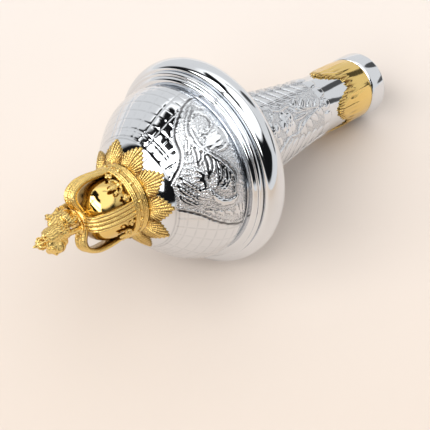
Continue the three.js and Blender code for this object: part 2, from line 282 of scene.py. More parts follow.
class Ground:
    """Metal laid out flat, on which ornament is raised: x across in degrees, y up the axis in millimetres.

    Each place has a height, and from 0 to 1 how matt it is and how dark with painted shade.
    """

    def __init__(self, x, y, scale):
        self.x, self.y = np.meshgrid(x, y)
        self.scale = scale  # millimetres to a degree
        self.height = np.zeros_like(self.x)
        self.matt = np.zeros_like(self.x)
        self.ornament_shade = np.zeros_like(self.x)

    def near(self, points, count=40):
        """How far each place is from a smooth line through points, and how far along it, from 0 to 1."""
        line = smooth_line(points, count=count) * (self.scale, 1)
        px, py = self.x * self.scale, self.y
        best, where = np.full(px.shape, 1e9), np.zeros(px.shape)
        for i, ((ax, ay), (bx, by)) in enumerate(zip(line, line[1:])):
            dx, dy = bx - ax, by - ay
            t = np.clip(((px - ax) * dx + (py - ay) * dy) / (dx * dx + dy * dy), 0, 1)
            d = np.hypot(px - ax - t * dx, py - ay - t * dy)
            closer = d < best
            best = np.where(closer, d, best)
            where = np.where(closer, (i + t) / (count - 1), where)
        return best, where

    def near_bent(self, base, tip, bend):
        """The same for a line from base to tip that is bent sideways by a part of its length."""
        base, tip = np.array(base, float), np.array(tip, float)
        run = (tip - base) * (self.scale, 1)
        middle = (base + tip) / 2 + np.array([-run[1] / self.scale, run[0]]) * bend
        return self.near([base, middle, tip], 16)

    def stand(self, shape, height, matt=0.0, ornament_shade=0.0):
        """Raises the metal to a height where a shape, from 0 to 1, reaches above what is there."""
        raised = shape * height
        over = (shape > 0) & (raised > self.height)
        self.height = np.where(over, raised, self.height)
        self.ornament_shade = np.where(over, ornament_shade, self.ornament_shade)
        self.matt = np.where(over & (shape > 0.12), matt, self.matt)

    def ridge(self, points, width, height, taper=0.0):
        """A raised, rounded strap along a line, which may taper at both ends."""
        d, t = self.near(points)
        half = width / 2 * (1 - taper + taper * np.sqrt(np.clip(4 * t * (1 - t), 0, 1)))
        inside = np.clip(1 - (d / np.maximum(half, 1e-6)) ** 2, 0, 1)
        self.stand(np.sqrt(inside), height)

    def ribbon(self, points, width, height):
        """A polished band, hollowed along its middle, with a fine raised line along each edge."""
        d, _ = self.near(points)
        flat = np.clip((width / 2 - d) / 0.35, 0, 1)
        hollow = (2 * d / width) ** 2
        edge = np.exp(-(((d - width / 2 + 0.5) / 0.4) ** 2))
        self.height = np.where(flat > 0.5, 0, self.height)
        # painted shade darkens the hollowed middle of the band
        self.stand(flat * (0.2 + 0.5 * hollow + 0.3 * edge), height, ornament_shade=np.clip(0.9 - 2.2 * hollow, 0, 1))

    def blade(self, base, tip, width, height, bend=0.0, crease=0.35):
        """One leaf blade from base to tip, widest part way along, hollowed along its middle."""
        d, t = self.near_bent(base, tip, bend)
        half = width / 2 * np.clip(np.sin(pi * t**0.6), 0, 1) ** 0.75
        rel = d / np.maximum(half, 1e-3)
        body = np.sqrt(np.clip(1 - rel**2, 0, 1))
        self.stand(body * (1 - crease * np.exp(-((d / 0.42) ** 2)) * (rel < 1)), height)

    def leaf(self, base, tip, width, height, bend=0.0):
        """A hollow leaf with a raised edge and a middle vein."""
        d, t = self.near_bent(base, tip, bend)
        half = width / 2 * np.clip(np.sin(pi * t**0.7), 0, 1) ** 0.7
        rel = d / np.maximum(half, 1e-3)
        edge = np.exp(-(((rel - 0.84) / 0.22) ** 2))
        vein = np.exp(-((d / 0.5) ** 2)) * np.clip(6 * (0.8 - t), 0, 1)
        raised = np.maximum(edge, vein)
        body = np.clip((1 - rel) / 0.12, 0, 1) * (0.35 + 0.65 * raised)
        # painted shade darkens the leaf's hollow, away from its raised edge and vein
        self.stand(body, height, ornament_shade=np.clip(0.95 - 1.6 * raised, 0, 1))

    def disc(self, centre, radius, height):
        """A flat matted disc inside a fine ring."""
        d = np.hypot((self.x - centre[0]) * self.scale, self.y - centre[1])
        self.stand(np.clip((radius - d) / 0.5, 0, 1) * 0.6, height, matt=1.0)
        self.stand(np.exp(-(((d - radius) / 0.42) ** 2)), height)

    def boss(self, centre, radius, height):
        """A round-topped boss."""
        d = np.hypot((self.x - centre[0]) * self.scale, self.y - centre[1])
        self.stand(np.sqrt(np.clip(1 - (d / radius) ** 2, 0, 1)), height)


def across_sector(sector, columns):
    """The angles of a shell's columns across one sector, 0 in its middle."""
    return np.linspace(-sector / 2, sector / 2, round(columns * sector / 360), endpoint=False)


def ends_of_panel(y):
    """Left and right edge of a dome panel, in degrees from its middle, at each height."""
    left = np.interp(y, [18, 27, 35, 42, 47, 55, 58], [-45, -44.5, -41.5, -38, -33.6, -29, -26])
    right = np.interp(y, [18, 30, 40.6, 45.3, 47.5, 51, 55, 58], [44, 41.8, 34.5, 28, 16, 7, 1, -3])
    return left, right


def dome_ornament(y):
    """Height, matting and painted shade of one sector of the dome, its panel in the middle."""
    ground = Ground(across_sector(DOME_SECTOR, DOME_COLUMNS), y, DOME_SCALE)
    left, right = ends_of_panel(ground.y)
    panel = (ground.x > left) & (ground.x < right)
    chased = (ground.y > CHASED_FOOT) & (ground.y < CHASED_HEAD)

    # latticed field: brick-like pillows between cut lines
    column = ((ground.x - 2) % 10 - 5) / 5
    row_edges = np.array([15, 21, 26.2, 31.2, 37, 42.3, 47.2, 52, 56.8])
    row = np.clip(np.searchsorted(row_edges, ground.y) - 1, 0, len(row_edges) - 2)
    middle = (row_edges[row] + row_edges[row + 1]) / 2
    up = (ground.y - middle) / (row_edges[row + 1] - row_edges[row]) * 2
    pillow = (1 - np.abs(column) ** 6) * (1 - np.abs(up) ** 6)
    bar = np.exp(-(((np.abs(column) - 0.72) / 0.05) ** 2))
    lattice = 0.2 + 0.25 * pillow - 0.08 * bar
    ground.height = np.where(chased & ~panel, lattice, 0)
    ground.matt = np.where(panel & chased, 1.0, 0.0)

    # great leaf at the upper left, with three long ribs, and small leaflets under it
    ground.leaf((-27, 47.5), (-14, 55.4), 4.6, 0.95, bend=0.06)
    ground.leaf((-22, 46.9), (-4, 54.9), 4.4, 1.0, bend=0.06)
    ground.leaf((-16, 45.1), (1.5, 52.6), 4.2, 1.0, bend=0.06)
    for tip in ((-15.5, 45.4), (-11.5, 45.8), (-7.0, 47.6), (-2.2, 48.0), (2.6, 46.4)):
        ground.blade((-11.5 + (tip[0] + 11.5) * 0.35, 39.6 + (tip[1] - 39.6) * 0.3), tip, 2.2, 0.9, bend=-0.1)
    for tip in ((4, 50.6), (8, 49.2), (12, 47.6)):
        ground.blade((tip[0] - 5.5, tip[1] - 3.4), tip, 1.6, 0.7, bend=0.12)

    # stem with hollow leaves under it
    leaves = (((24, 39.5), (12.5, 46.0), 4.6), ((17, 39.4), (2.0, 43.2), 6.0), ((9.5, 37), (-8.5, 40.4), 6.6),
              ((3.2, 33), (-15.0, 37.0), 5.8), ((-3, 29.6), (-17.5, 32.6), 4.6))
    for base, tip, width in leaves:
        ground.leaf(base, tip, width, 1.05, bend=0.1)
    upper = [(-22, 27.6), (-11.5, 26.4), (-1.7, 31), (6.9, 35.6), (14.8, 39.2), (25.2, 39.4), (33, 35),
             (39, 27)]
    lower = [(-19, 25.6), (-10, 24.2), (-1, 28.2), (5.5, 32.4), (13, 36.8), (22, 37.2), (30, 34.2),
             (35.5, 27)]
    ground.ridge(upper, 1.8, 1.25, taper=0.3)
    ground.ridge(lower, 1.0, 1.0, taper=0.3)

    # flower under the arch of the stem: a broad petal with four long folds, a matted disc and two curled tips
    ground.blade((14, 18), (12.5, 36.6), 13, 0.72, crease=0.0)
    folds = (((8.6, 20.6), (5.4, 31.2), 2.4), ((11, 19.5), (9.6, 34.4), 2.4), ((14, 19), (14, 36), 2.4),
             ((17, 19.5), (18.6, 35.4), 2.2))
    for base, tip, width in folds:
        ground.blade(base, tip, width, 1.0, bend=0.08, crease=0.2)
    ground.disc((26, 30.2), 4.5, 0.85)
    ground.ridge([(20.6, 34.4), (19.6, 29.6), (22.4, 24.4), (28.4, 23.8), (31.8, 27)], 1.3, 0.95, taper=0.5)
    ground.blade((29, 22.6), (35.4, 31), 2.4, 0.9, bend=-0.12)
    ground.blade((33, 19.4), (40.6, 24.6), 2.4, 0.8, bend=0.1)

    # curled end at the left: a broad crescent round a thistle's head
    ground.ridge([(-20, 39.4), (-25, 36.4), (-27.2, 31), (-24.4, 26)], 4.2, 1.05, taper=0.75)
    ground.disc((-18.4, 43), 3.3, 0.9)
    for i in range(5):
        ground.blade((-17 + 1.2 * i, 36.4 - 0.6 * i), (-21 + 1.7 * i, 29.4 - 0.9 * i), 1.4, 0.75, bend=0.1)
    for i in range(4):
        ground.blade((-31 - 1.2 * i, 44.6 - 5.4 * i), (-35.4 - 1.6 * i, 39.4 - 5.2 * i), 2.0, 0.75, bend=0.15)
    for i in range(3):
        ground.blade((-30.5, 27 - 3 * i), (-38 - i, 22.4 - 2.4 * i), 2.0, 0.7, bend=-0.15)
    for i in range(9):
        ground.blade((-27 + 4.1 * i, 17), (-23.4 + 4.1 * i, 21.4 + (i % 3)), 1.3, 0.55, bend=0.1)

    # polished ribbon round the panel, and the double engraved ring above
    left = [(-28, 58), (-30.8, 53), (-34.4, 46.6), (-39.5, 40), (-43, 33), (-45, 26), (-45.5, 13)]
    right = [(-3.5, 58), (2.4, 54.4), (8, 50.6), (16.5, 47), (28, 45), (35.5, 40.4), (40, 34), (43, 27.5),
             (45, 13)]
    for line in (left, right):
        ground.ribbon(line, 3.6, 0.8)
    top = np.clip((ground.y - CHASED_HEAD) / 0.4, 0, 1)
    foot = np.clip((CHASED_FOOT + 0.4 - ground.y) / 0.5, 0, 1)
    plain = np.maximum(top, foot)
    height = ground.height * (1 - plain) + PLAIN_LEVEL * plain
    matt = ground.matt * (1 - plain)
    ornament_shade = ground.ornament_shade * (1 - plain)
    # the engraved rings are cut in and darkened with painted shade
    for ring in (55.9, 57.4):
        line = np.exp(-(((ground.y - ring) / 0.2) ** 2))
        height -= 0.16 * line
        ornament_shade = np.maximum(ornament_shade, 0.5 * line)
    height -= 0.2 * np.exp(-(((ground.y - 53.3) / 0.16) ** 2)) * (~panel)
    return height, matt, ornament_shade


def round_shell(name, outside, inside, columns, relief=None, matt=None, ornament_shade=0.0, shade=1.6):
    """A shell of revolution closed on itself, whose outer rows may carry ornament along their normals.

    Painted shade darkens the hollows of the ornament, the deeper the darker, as strongly as shade says.
    """
    section = np.vstack([outside, inside])
    radius = np.repeat(section[:, :1], columns, 1)
    level = np.repeat(section[:, 1:], columns, 1)
    if relief is not None:
        step = np.gradient(outside, axis=0)
        outward = np.stack([-step[:, 1], step[:, 0]], -1) / np.hypot(*step.T)[:, None]
        rows = len(outside)
        radius[:rows] += outward[:, :1] * (relief - PLAIN_LEVEL)
        level[:rows] += outward[:, 1:] * (relief - PLAIN_LEVEL)
    piece = add_piece(name, ring_points(radius, level), tube_faces(len(section), columns)[:, ::-1])
    if matt is not None:
        plain_rows = np.zeros((len(inside), columns))
        # painted shade: the deeper a place lies below its neighbours the darker, a little on the matted
        # ground, plus the ornament's own painted shade
        around_it = sum(np.roll(relief, (i, j), (0, 1)) for i in (-2, 0, 2) for j in (-2, 0, 2)) / 9
        painted_shade = np.clip(np.clip(shade * (around_it - relief), 0, 0.8) + 0.08 * matt + ornament_shade, 0, 0.95)
        paint(piece, "matt", np.vstack([matt, plain_rows]))
        paint(piece, "painted_shade", np.vstack([painted_shade, plain_rows]))
    return piece


def around(field, sector, centre, columns):
    """One sector of ornament repeated round a shell, its middle at an angle, a column to each angle."""
    angle = 360 * np.arange(columns) / columns
    place = ((angle - centre + sector / 2) % sector) / sector * field.shape[1]
    return field[:, np.round(place).astype(int) % field.shape[1]]


def with_plain_rows(field, count, value, first=False):
    """A field of ornament with rows of one value put after it, or before it."""
    rows = np.full((count, field.shape[1]), value)
    return np.vstack([rows, field] if first else [field, rows])


def dome():
    knots = [(2, 68.6), (13, 68.2), (22.5, 66.6), (31.2, 61.4), (38.9, 53.8), (46.7, 45), (53, 36.6),
             (56.8, 28), (57.8, 20.6), (54.6, 13.8)]
    line = smooth_line(knots, step=0.52)
    line = np.vstack([line[line[:, 1] > 58.2][::5], line[line[:, 1] <= 58.2]])
    band = arc_points((58.1, 13.4), (3.1, 1.7), 165, 12, 8)
    bead = arc_points((62.6, 11.2), (1.7, 1.9), 120, -25, 8)
    outside = np.vstack([line, band, bead, [[63.4, 9.4]]])
    inside = np.vstack([[[59.8, 9.4]], inward(smooth_line(knots, count=12), WALL)[::-1]])
    fields = dome_ornament(line[::-1, 1])
    relief, matt, ornament_shade = (around(field[::-1], DOME_SECTOR, DOME_CENTRE, DOME_COLUMNS) for field in fields)
    relief += matt * np.random.default_rng(7).uniform(-PUNCH_DEPTH, PUNCH_DEPTH, relief.shape)
    plain = np.clip((line[:, 1] - 58.5) / 2, 0, 1)[:, None]
    relief = relief * (1 - plain) + PLAIN_LEVEL * plain
    turned_rows = len(outside) - len(line)
    shell = round_shell("dome_shell", outside, inside, DOME_COLUMNS,
                        with_plain_rows(relief, turned_rows, PLAIN_LEVEL),
                        with_plain_rows(matt, turned_rows, 0.0),
                        with_plain_rows(ornament_shade, turned_rows, 0.0))
    finish_piece(shell, "dome", CHASED_CHROME)


dome()

# ---- Rim
# A wide, round-edged ring turned over from sheet, plain and polished, with a back plate that the neck
# stands on. The head lies on it, so it has a small flat spot.

RIM_CENTRE = (64.2, 0.6)
RIM_RADII = (5.8, 8.4)
RIM_LEDGE = 9.05  # height of the ledge that carries the dome
BACK_PLATE = -10.6  # underside of the back plate, at the neck
PLAIN_CHROME = chrome("plain_chrome", chased=False)


def rim():
    round_edge = arc_points(RIM_CENTRE, RIM_RADII, 88, -105, 56)
    back = [(61.4, -8.4), (60.9, -8.9), (58, -9.4), (38, BACK_PLATE)]
    inner = [(38, BACK_PLATE + WALL), (59, -9 + WALL), (62.6, -6)]
    inside = arc_points(RIM_CENTRE, (RIM_RADII[0] - WALL, RIM_RADII[1] - WALL), -60, 70, 10)
    seat = [(60, RIM_LEDGE - WALL), (60, RIM_LEDGE)]
    ring = round_shell("rim_ring", np.vstack([round_edge, back]), np.vstack([inner, inside, seat]), 320)
    finish_piece(ring, "rim", PLAIN_CHROME)


rim()

# ---- Neck
# A flared tube, chased like the dome: in each third a rose between two winding stems, and between those a
# great leaf of slanting blades. The chasing ends in lobes, and the narrow end is plain and polished.

NECK_COLUMNS = 402
NECK_SECTOR = 120.0  # degrees from one rose to the next
NECK_CENTRE = -46.0
NECK_SCALE = radians(1) * 27
CHASING_TOP = -17.5
CHASING_END = -113.0
NECK_PLAIN = 0.25  # how high its plain metal stands above the chased ground
PLAIN_END = (21.6, -163.8)  # radius and height of the narrow end


def both_sides(*points):
    """The points as they are, and mirrored about the middle of the panel."""
    return points, tuple((-x, y) for x, y in points)


def neck_ornament(y):
    """Height and matting of one sector of the neck, a rose in the middle."""
    ground = Ground(across_sector(NECK_SECTOR, NECK_COLUMNS), y, NECK_SCALE)

    # great leaf between the panels: slanting blades that rise to its middle rib
    for i in range(10):
        low = -104 + 8.6 * i
        start = 27 + 9 * max(0, (-70 - low) / 34)
        for points in both_sides((start, low), (61, low + 12.5)):
            ground.blade(*points, 6.2, 0.85, bend=0.05 if points[0][0] > 0 else -0.05, crease=0.45)
    for rib in (-60, 60):
        ground.ridge([(rib, -24), (rib, -66), (rib, -108)], 1.6, 1.0, taper=0.3)

    # winding stems, with lobes on their outer side
    for sign in (-1, 1):
        stem = ((24, -24), (33, -36), (30, -47), (19.5, -59), (21, -70), (10, -83.5), (1.6, -99))
        ground.ridge([(sign * a, h) for a, h in stem], 1.7, 1.15, taper=0.25)
        for i, (a, h) in enumerate(((25, -77), (21, -84.5), (17, -92), (13, -99.5), (9, -106))):
            base, tip = (sign * (a - 11), h + 3), (sign * (a + 6 - i), h - 4.5)
            ground.blade(base, tip, 5.6, 1.0, bend=-0.12 * sign, crease=0.4)
        for a, h in ((35, -44), (27, -56), (28, -66)):
            ground.blade((sign * (a - 5), h + 2.5), (sign * (a + 8), h + 6), 3.6, 0.95, bend=0.1 * sign)
        ground.blade((sign * 25, -74), (sign * 3.5, -91), 4.4, 0.95, bend=-0.1 * sign)
        ground.blade((sign * 20, -70), (sign * 5, -82), 2.6, 0.85, bend=-0.12 * sign)
        ground.blade((sign * 22, -50), (sign * 10, -44), 3.0, 0.8, bend=0.2 * sign)

    # rose: five outer and five inner petals round a boss, a bud above it and a leaf below
    for ring, size, reach, height in ((0, 3.9, 5.0, 0.85), (36, 2.5, 2.5, 1.15)):
        for k in range(5):
            turn = radians(90 + ring + 72 * k)
            ground.boss((reach * cos(turn) / NECK_SCALE, -61.7 + reach * sin(turn)), size, height)
    ground.boss((0, -61.7), 1.5, 1.5)
    ground.blade((0, -71), (0, -87), 4.2, 0.95)
    ground.boss((0, -48.5), 3.2, 0.95)
    for tip in (-14, -7, 0, 7, 14):
        ground.blade((tip / 3, -46), (tip, -37 - abs(tip) / 5), 2.6, 0.85)
    ground.blade((-16, -29), (0, -22), 4.4, 0.85, bend=0.15)
    ground.blade((16, -29), (0, -22), 4.4, 0.85, bend=-0.15)

    # lobes at the end of the chasing, and the plain metal beyond them and by the foot
    lobe = ((ground.x + 60) % 24 - 12) / 12
    edge = CHASING_END + 4 - 5.5 * np.sqrt(1 - lobe**2)
    inside = np.clip((ground.y - edge) / 0.6, 0, 1)
    ground.stand((1 - lobe**4) * np.clip(1 - (ground.y - CHASING_END - 3) / 5, 0, 1) * inside, 1.05)
    chased = inside * np.clip((CHASING_TOP - ground.y) / 0.6, 0, 1)
    matt = np.where(ground.height < 0.1, 1.0, 0.0)
    return ground.height * chased + NECK_PLAIN * (1 - chased), matt * (chased > 0.5)


def neck():
    foot = arc_points((38.6, -12.65), (2.4, 1.7), 90, -75, 10)
    knots = [(36.8, -14.6), (34.3, -25), (31.6, -40), (28.9, -60), (26.1, -80), (23.8, -100), (22.1, -118),
             (21.6, -132), PLAIN_END]
    line = smooth_line(knots, step=0.52)
    line = np.vstack([line[line[:, 1] > -121], line[line[:, 1] <= -121][::6], [PLAIN_END]])
    outside = np.vstack([foot, line])
    inside = np.vstack([inward(smooth_line(knots, count=12), WALL)[::-1], [[35.3, -10.95]]])
    relief, matt = neck_ornament(line[::-1, 1])
    relief, matt = (around(field[::-1], NECK_SECTOR, NECK_CENTRE, NECK_COLUMNS) for field in (relief, matt))
    relief += matt * np.random.default_rng(11).uniform(-PUNCH_DEPTH, PUNCH_DEPTH, relief.shape)
    relief += PLAIN_LEVEL - NECK_PLAIN
    tube = round_shell("neck_tube", outside, inside, NECK_COLUMNS,
                       with_plain_rows(relief, len(foot), PLAIN_LEVEL, first=True),
                       with_plain_rows(matt, len(foot), 0.0, first=True), shade=0.35)
    finish_piece(tube, "neck", CHASED_CHROME)


neck()

# ---- End ring
# A plain turned ring over the neck's narrow end, a little proud of it, with the socket's mouth and the flat
# face that the staff's shoulder meets.

SOCKET_RADIUS = 18.0
RING_TOP = -164.2


def end_ring():
    wall = [(23.0, RING_TOP), (23.35, RING_TOP - 0.4), (23.7, RING_TOP - 2.4), (24.1, RING_TOP - 7)]
    edge = arc_points((21.2, RING_END + 3), (3, 3), 0, -90, 12)
    bore = [(SOCKET_RADIUS + 0.3, RING_END), (SOCKET_RADIUS, RING_END + 0.3), (SOCKET_RADIUS, RING_TOP)]
    ring = round_shell("end_ring_turned", np.vstack([wall, edge]), bore, 200)
    finish_piece(ring, "end_ring", PLAIN_CHROME)


end_ring()

# ---- Gilt leaf collar
# Ten broad pointed leaves with toothed edges, cut from sheet, chased with a fan of veins and gilt, lie on
# the dome round the foot of the crown.

GOLD_BRIGHT = (0.88, 0.66, 0.25)
GOLD_WARM = (0.76, 0.52, 0.17)
# brown of the painted shade in the gilding's hollows
GOLD_SHADE = (0.15, 0.065, 0.012)


def gilt(name, matted):
    """Gilding, turned brown by painted shade in the hollows; where it is matted it has a fine grain."""
    nodes = Nodes(name, Metallic=1.0, Roughness=0.16)
    cloud = nodes.noise(70.0)
    grain = nodes.noise(1400.0, 2.0)
    painted_shade = nodes.painted("painted_shade")
    # painted shade turns the gilding brown in its hollows
    nodes.feed("Base Color", nodes.mix(painted_shade, nodes.mix(cloud, GOLD_WARM, GOLD_BRIGHT), GOLD_SHADE))
    nodes.feed("Roughness", (0.08 if matted else 0.05) + 0.08 * cloud + 0.14 * painted_shade)
    nodes.bump(grain, 0.0003 if matted else 0.00002)
    return nodes.material


CHASED_GILT = gilt("chased_gilt", matted=True)
LEAVES = 10
COLLAR_INNER = 22.9
COLLAR_TIP = 35.4
COLLAR_VALLEY = 28.2
COLLAR_SEAT = 0.5  # height of its underside over the dome
VEIN_TURN = 8.6  # degrees from one vein of the fan to the next


def across_leaves(count, columns, centre):
    """How far across its leaf each column of a ring of leaves is, from -1 to 1."""
    angle = 360 * np.arange(columns) / columns
    return ((angle - centre) / (360 / count) + 0.5) % 1 * 2 - 1


def toothed_edge(across, teeth, depth):
    """How far a leaf's edge reaches, 1 at the tip and 0 in the valleys, with teeth that point to the tip."""
    a = np.abs(across)
    shape = 1 - a**1.12
    place = (a * teeth + 0.3) % 1
    tooth = np.where(place < 0.75, place / 0.75, (1 - place) / 0.25)
    return shape + depth * (tooth - 0.5) * np.clip(a * 8, 0, 1)


def leaf_collar():
    columns, rows = 960, 60
    across = across_leaves(LEAVES, columns, 0)
    reach = COLLAR_VALLEY + (COLLAR_TIP - COLLAR_VALLEY) * toothed_edge(across, 5, 0.2)
    t = np.linspace(0, 1, rows)[:, None]
    radius = COLLAR_INNER + (reach - COLLAR_INNER) * t
    dome_line = smooth_line([(22.5, 66.6), (31.2, 61.4), (38.9, 53.8)], count=40)
    seat = np.interp(radius, dome_line[:, 0], dome_line[:, 1]) + COLLAR_SEAT
    spread = np.degrees(np.arctan2(across * radians(180 / LEAVES) * radius, radius - COLLAR_INNER + 4))
    fan = np.abs(np.cos(np.radians(spread) * 180 / VEIN_TURN)) ** 0.8
    beads = 0.5 + 0.5 * np.cos(2 * pi * (radius - COLLAR_INNER) / 1.1 + np.round(spread / VEIN_TURN) * 2.1)
    vein = (0.46 + 0.26 * beads) * fan * np.clip(t * 3, 0, 1)
    cup = 0.9 * (1 - np.abs(across) ** 1.5) * np.sin(pi * t**0.8) + 0.5 * np.exp(-((across / 0.07) ** 2))
    top = seat + 0.35 + vein + cup * (1 - 0.5 * t**4)
    low_rows = [0, rows // 2, rows - 1]
    points = np.concatenate([ring_points(radius, top), ring_points(radius, seat)[low_rows][::-1]])
    collar = add_piece("leaf_collar_cut", points, tube_faces(len(points), columns)[:, ::-1])
    # painted shade between the veins and towards the leaves' edges
    hollow = np.clip(1.0 - fan - 0.3 * beads, 0, 1) * 1.5 * np.clip(t * 2.5, 0, 1) + 0.9 * np.abs(across) ** 4
    paint(collar, "painted_shade", np.concatenate([np.clip(hollow, 0, 1), np.zeros((len(low_rows), columns))]))
    finish_piece(collar, "leaf_collar", CHASED_GILT)


leaf_collar()

# ---- Gilt leaf sleeve
# A cast and gilt sleeve on the narrow end of the neck. Its edge is cut into four long ragged leaves, softly
# veined, a little gathered between them and lifted at the tips.

SLEEVE_BASE = -163.6
SLEEVE_VALLEY = -140.5
SLEEVE_TIP = -124.5
SLEEVE_TURN = 18.0
SLEEVE_LEAVES = 4
SLEEVE_COVER = 0.76  # part of its quarter that each leaf takes up
POLISHED_GILT = gilt("polished_gilt", matted=False)


def leaf_sleeve():
    columns, rows = 480, 56
    across = across_leaves(SLEEVE_LEAVES, columns, SLEEVE_TURN)
    rag = 0.04 * np.sin(across * 21) + 0.03 * np.sin(across * 47 + 1) + 0.07 * ((np.abs(across) * 9) % 1)
    edge = 1 - np.clip(np.abs(across) / SLEEVE_COVER, 0, 1) ** 2 + rag
    reach = SLEEVE_VALLEY + (SLEEVE_TIP - SLEEVE_VALLEY) * edge - SLEEVE_BASE
    t = np.linspace(0, 1, rows)[:, None]
    height = SLEEVE_BASE + reach * t
    above = np.clip((height - SLEEVE_VALLEY) / (SLEEVE_TIP - SLEEVE_VALLEY), 0, 1)
    side_vein = np.exp(-(((np.abs(across) - 0.5 * (1 - above)) / 0.05) ** 2))
    vein = np.exp(-((across / 0.045) ** 2)) + 0.7 * side_vein
    body = 0.28 * np.sin(pi * np.clip((height - SLEEVE_BASE) / 22, 0, 1)) + 0.4 * vein * np.clip(t * 2, 0, 1)
    low = np.exp(-(((height - SLEEVE_VALLEY + 1) / 4.2) ** 2))
    gather = 0.45 * np.cos(across * 9 * pi) * low * np.abs(across)
    border = np.clip((t - 0.86) / 0.05, 0, 1)
    gather = gather + border * (0.25 * np.sin(across * 60) - 0.1)
    outer = 23.0 + body + gather + 0.5 * above**2 - 0.45 * t**10
    outer = np.where(t < 0.02, 23.1, outer)
    inner_rows = [rows - 1, rows // 2, 0]
    inner = 21.95 + 0.45 * above[inner_rows] ** 2
    radius = np.concatenate([outer, inner])
    level = np.concatenate([height, height[inner_rows]])
    sleeve = add_piece("leaf_sleeve_cast", ring_points(radius, level), tube_faces(len(radius), columns))
    # painted shade in the gathers, in the valleys between the leaves and between the veins
    valley = np.exp(-(((height - SLEEVE_VALLEY) / 4.0) ** 2)) * np.abs(across) ** 3
    crumple_shade = np.clip(-2.4 * gather, 0, 1) + 0.6 * valley + 0.2 * (1 - vein) * above
    paint(sleeve, "painted_shade", np.concatenate([np.clip(crumple_shade, 0, 0.9), inner * 0]))
    finish_piece(sleeve, "leaf_mount", POLISHED_GILT)


leaf_sleeve()

# ---- Crown
# Cast and gilt: a ridged circlet set with small jewels; two ribbed arches, which dip where they cross under
# a small round stand; and between each two feet of the arches a fleur-de-lis with a small cross on either
# side.

CROWN_TURN = -62.0
CIRCLET_FOOT = 68.9
CIRCLET_TOP = 77.6
CIRCLET_RADIUS = 22.4
CIRCLET_INNER = 19.8
CIRCLET_SKIRT = 1.7  # how far its outer face runs down behind the collar
JEWELS = 24
STAND_TOP = 104.4


class Parts:
    """Points and faces of a piece that is cast as one but worked out part by part."""

    def __init__(self):
        self.points, self.faces, self.hollow, self.count = [], [], [], 0

    def add(self, points, faces, hollow=0.0):
        """Adds a part, with how much painted shade each of its points gets, from 0 to 1."""
        points = np.asarray(points, dtype=float).reshape(-1, 3)
        self.faces.extend([tuple(int(i) + self.count for i in face) for face in faces])
        self.points.append(points)
        self.hollow.append(np.broadcast_to(np.ravel(hollow), (len(points),)))
        self.count += len(points)

    def piece(self, name):
        """The parts as one mesh object, their faces turned outwards."""
        made = add_piece(name, np.vstack(self.points), self.faces)
        bm = bmesh.new()
        bm.from_mesh(made.data)
        bmesh.ops.recalc_face_normals(bm, faces=bm.faces)
        bm.to_mesh(made.data)
        bm.free()
        paint(made, "painted_shade", np.clip(np.concatenate(self.hollow), 0, 1))
        return made


def lathe(section, columns):
    """Points of a section turned round the axis, a row to each point of the section."""
    radius, level = np.repeat(np.asarray(section, dtype=float)[:, :, None], columns, 2).transpose(1, 0, 2)
    return ring_points(radius, level)


def capped_faces(rows, columns):
    """Quads of a grid that closes on itself round its columns, with one face over each open end."""
    return [*tube_faces(rows, columns, closed_rows=False), range(columns - 1, -1, -1),
            range((rows - 1) * columns, rows * columns)]


def ball(centre, radii):
    """A closed ball or bead, each pole a small flat ring."""
    columns, rows = 14, 9
    lift = np.radians(np.linspace(-88, 88, rows))[:, None]
    turn = 2 * pi * np.arange(columns) / columns
    level = np.sin(lift) * np.ones_like(turn)
    unit = np.stack([np.cos(lift) * np.cos(turn), np.cos(lift) * np.sin(turn), level], -1)
    return np.asarray(centre) + unit * np.asarray(radii), capped_faces(rows, columns)


def turned(points, degrees_round):
    """Points turned round the axis."""
    a = radians(degrees_round)
    matrix = np.array([[cos(a), -sin(a), 0], [sin(a), cos(a), 0], [0, 0, 1]])
    return np.asarray(points) @ matrix.T


def circlet(parts):
    t = np.linspace(0, 1, 72)
    ridges = 0.5 * np.abs(np.sin(t * 3 * pi / 0.38)) * ((t < 0.38) | (t > 0.62)) + 0.15
    foot = CIRCLET_FOOT - CIRCLET_SKIRT
    outer = np.stack([CIRCLET_RADIUS - 0.1 + ridges, foot + (CIRCLET_TOP - foot) * t], -1)
    section = np.vstack([outer, [(CIRCLET_INNER, CIRCLET_TOP), (CIRCLET_INNER, CIRCLET_FOOT - 0.1)]])
    columns = 240
    # painted shade in the grooves between the ridges and on the inner face
    hollow = np.concatenate([0.9 * (ridges < 0.3) * (np.abs(t - 0.5) > 0.1), [0.6, 0.6]])
    parts.add(lathe(section, columns), tube_faces(len(section), columns), np.repeat(hollow, columns))
    middle = (CIRCLET_FOOT + CIRCLET_TOP) / 2 - 0.3
    spacing = 360 / JEWELS
    for k in range(JEWELS):
        wide = 1.45 if k % 2 == 0 else 0.75
        points, faces = ball((CIRCLET_RADIUS + 0.25, 0, middle), (wide, wide, wide))
        parts.add(turned(points, spacing * (k + 0.5) + CROWN_TURN), faces)


